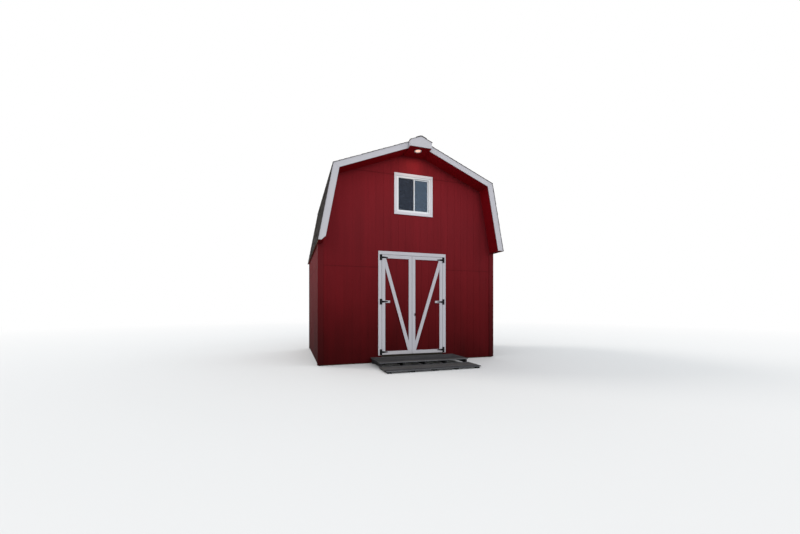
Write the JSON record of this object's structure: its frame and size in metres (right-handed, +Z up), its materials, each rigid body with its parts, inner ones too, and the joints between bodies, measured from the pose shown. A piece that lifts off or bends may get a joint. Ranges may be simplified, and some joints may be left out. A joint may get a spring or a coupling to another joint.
{
  "type": "gambrel roof barn",
  "caption": "Two storey timber storage barn with a gambrel roof, double swing doors, a loft window and a low plank landing at the doors.",
  "frame": {"origin": "middle of the building's floor frame at ground level, on the underside of the centre skid", "axes": "+Z up, -Y out of the wall with the double doors, +X to the right for someone who faces the doors"},
  "size_m": [5.0058, 5.631, 5.6978],
  "materials": {
    "red_siding": "painted barn red, matte",
    "white_trim": "painted white, satin",
    "framing_lumber": "bare softwood",
    "sheathing": "bare structural board",
    "treated_lumber": "treated softwood, weathered",
    "landing_planks": "weathered grey-brown planks",
    "shingles": "asphalt granules",
    "window_vinyl": "white vinyl",
    "window_glass": "clear glass",
    "lamp": "frosted lens in a white ring",
    "black_iron": "powder coated black"
  },
  "bodies": {
    "barn": {"floor_skids": "treated_lumber", "floor_joists": "treated_lumber", "floor_deck": "sheathing", "front_siding_sides": "red_siding", "front_siding_over_door": "red_siding", "front_siding_beside_window": "red_siding", "front_siding_peak": "red_siding", "rear_siding": "red_siding", "side_siding": "red_siding", "corner_boards": "red_siding", "front_wall_frame": "framing_lumber", "door_header": "framing_lumber", "rear_wall_frame": "framing_lumber", "side_wall_frames": "framing_lumber", "gable_frames": "framing_lumber", "loft_joists": "framing_lumber", "loft_floor": "sheathing", "lower_rafters": "framing_lumber", "upper_rafters": "framing_lumber", "rafter_gussets": "sheathing", "ridge_board": "framing_lumber", "roof_sheets": "sheathing", "shingles": "shingles", "ridge_cap": "shingles", "soffits": "red_siding", "front_rake_boards": "white_trim", "rear_rake_boards": "white_trim", "peak_box": "white_trim", "peak_light": "lamp", "door_casing": "white_trim", "door_sill": "treated_lumber", "window_trim": "white_trim", "window_frame": "window_vinyl", "window_glass": "window_glass", "landing_frame": "treated_lumber", "landing_boards": "landing_planks", "hinge_plates": "black_iron"},
    "left_door": {"left_door_panel": "red_siding", "left_door_boards": "white_trim", "left_door_frame": "framing_lumber", "left_door_hardware": "black_iron"},
    "right_door": {"right_door_panel": "red_siding", "right_door_boards": "white_trim", "right_door_frame": "framing_lumber", "right_door_hardware": "black_iron"}
  },
  "joints": [
    {"name": "left_door_hinge", "type": "hinge", "parent": "barn", "child": "left_door", "pos_m": [-0.859, -1.868, 1.5], "axis": [0, 0, -1], "range_deg": [0, 170]},
    {"name": "right_door_hinge", "type": "hinge", "parent": "barn", "child": "right_door", "pos_m": [0.859, -1.868, 1.5], "axis": [0, 0, 1], "range_deg": [0, 170]}
  ]
}
